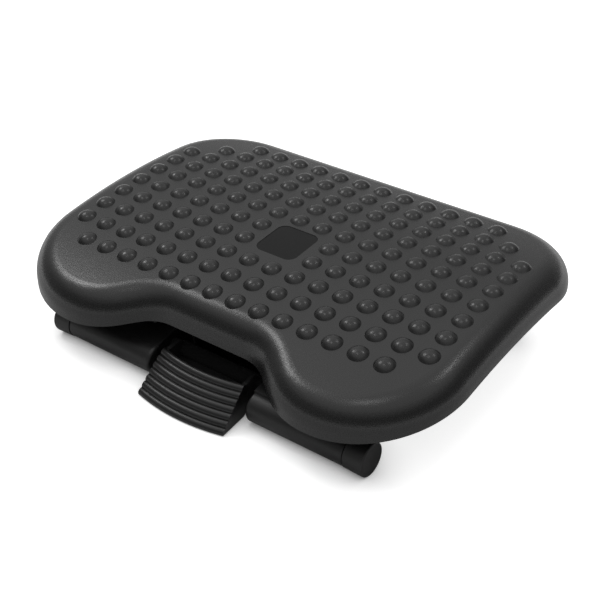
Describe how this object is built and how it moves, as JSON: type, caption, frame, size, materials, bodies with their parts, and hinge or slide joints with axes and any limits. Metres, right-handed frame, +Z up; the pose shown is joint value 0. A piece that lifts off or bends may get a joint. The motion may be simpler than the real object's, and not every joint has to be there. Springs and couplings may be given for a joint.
{
  "type": "tilting footrest",
  "caption": "Under-desk footrest: bumped black platform hinged near its front edge on a barred base, with a front pedal that frees a friction lock.",
  "frame": {"origin": "floor under the middle of the footrest", "axes": "+X to the user's right, +Y away from the user towards the raised edge, +Z up"},
  "size_m": [0.4548, 0.3395, 0.107],
  "materials": {
    "platform_plastic": "fine grained black moulding",
    "badge_plastic": "smooth dark inlay",
    "base_plastic": "fine grained black moulding",
    "pedal_plastic": "slightly glossier black moulding",
    "inner_plastic": "glass filled nylon",
    "bush_plastic": "natural nylon",
    "cap_rubber": "moulded rubber",
    "pad_rubber": "friction lining",
    "steel": "zinc plated",
    "arc_metal": "die cast, fine blasted"
  },
  "bodies": {
    "base": {"base_housing": "base_plastic", "base_cover": "base_plastic", "cover_screws": "steel", "rear_bar": "base_plastic", "rear_bar_screws": "steel", "end_cap_front_right": "cap_rubber", "end_cap_front_left": "cap_rubber", "end_cap_rear_right": "cap_rubber", "end_cap_rear_left": "cap_rubber", "stop_buffers": "cap_rubber", "pivot_rod": "steel", "pivot_rod_clips": "steel", "pedal_pin": "steel", "pedal_pin_clips": "steel", "brake_pin": "steel", "brake_pin_clips": "steel", "brake_spring": "steel"},
    "platform": {"platform_shell": "platform_plastic", "badge_inlay": "badge_plastic", "hinge_bracket_right": "inner_plastic", "hinge_bracket_left": "inner_plastic", "hinge_bushes": "bush_plastic", "bracket_screws": "steel", "lock_arc": "arc_metal", "lock_arc_screws": "steel"},
    "pedal": {"pedal": "pedal_plastic", "link_pin_front": "steel"},
    "link": {"release_link": "steel"},
    "brake": {"brake_lever": "inner_plastic", "brake_pad": "pad_rubber", "link_pin_rear": "steel"}
  },
  "joints": [
    {"name": "platform_tilt", "type": "hinge", "parent": "base", "child": "platform", "pos_m": [0, -0.096, 0.052], "axis": [1, 0, 0], "range_deg": [0, 20]},
    {"name": "pedal_lift", "type": "hinge", "parent": "base", "child": "pedal", "pos_m": [0, -0.108, 0.022], "axis": [-1, 0, 0], "range_deg": [0, 15], "stiffness_Nm_per_rad": 0.5, "springref_deg": -11.46},
    {"name": "link_swing", "type": "hinge", "parent": "pedal", "child": "link", "pos_m": [0.012, -0.108, 0.008], "axis": [-1, 0, 0], "range_deg": [-15, 0]},
    {"name": "brake_release", "type": "hinge", "parent": "base", "child": "brake", "pos_m": [0, -0.012, 0.022], "axis": [-1, 0, 0], "range_deg": [0, 15], "deforming": ["brake_spring"]}
  ],
  "couplings": [
    {"joint": "link_swing", "follows": "pedal_lift", "ratio": -1},
    {"joint": "brake_release", "follows": "pedal_lift", "ratio": 1}
  ]
}
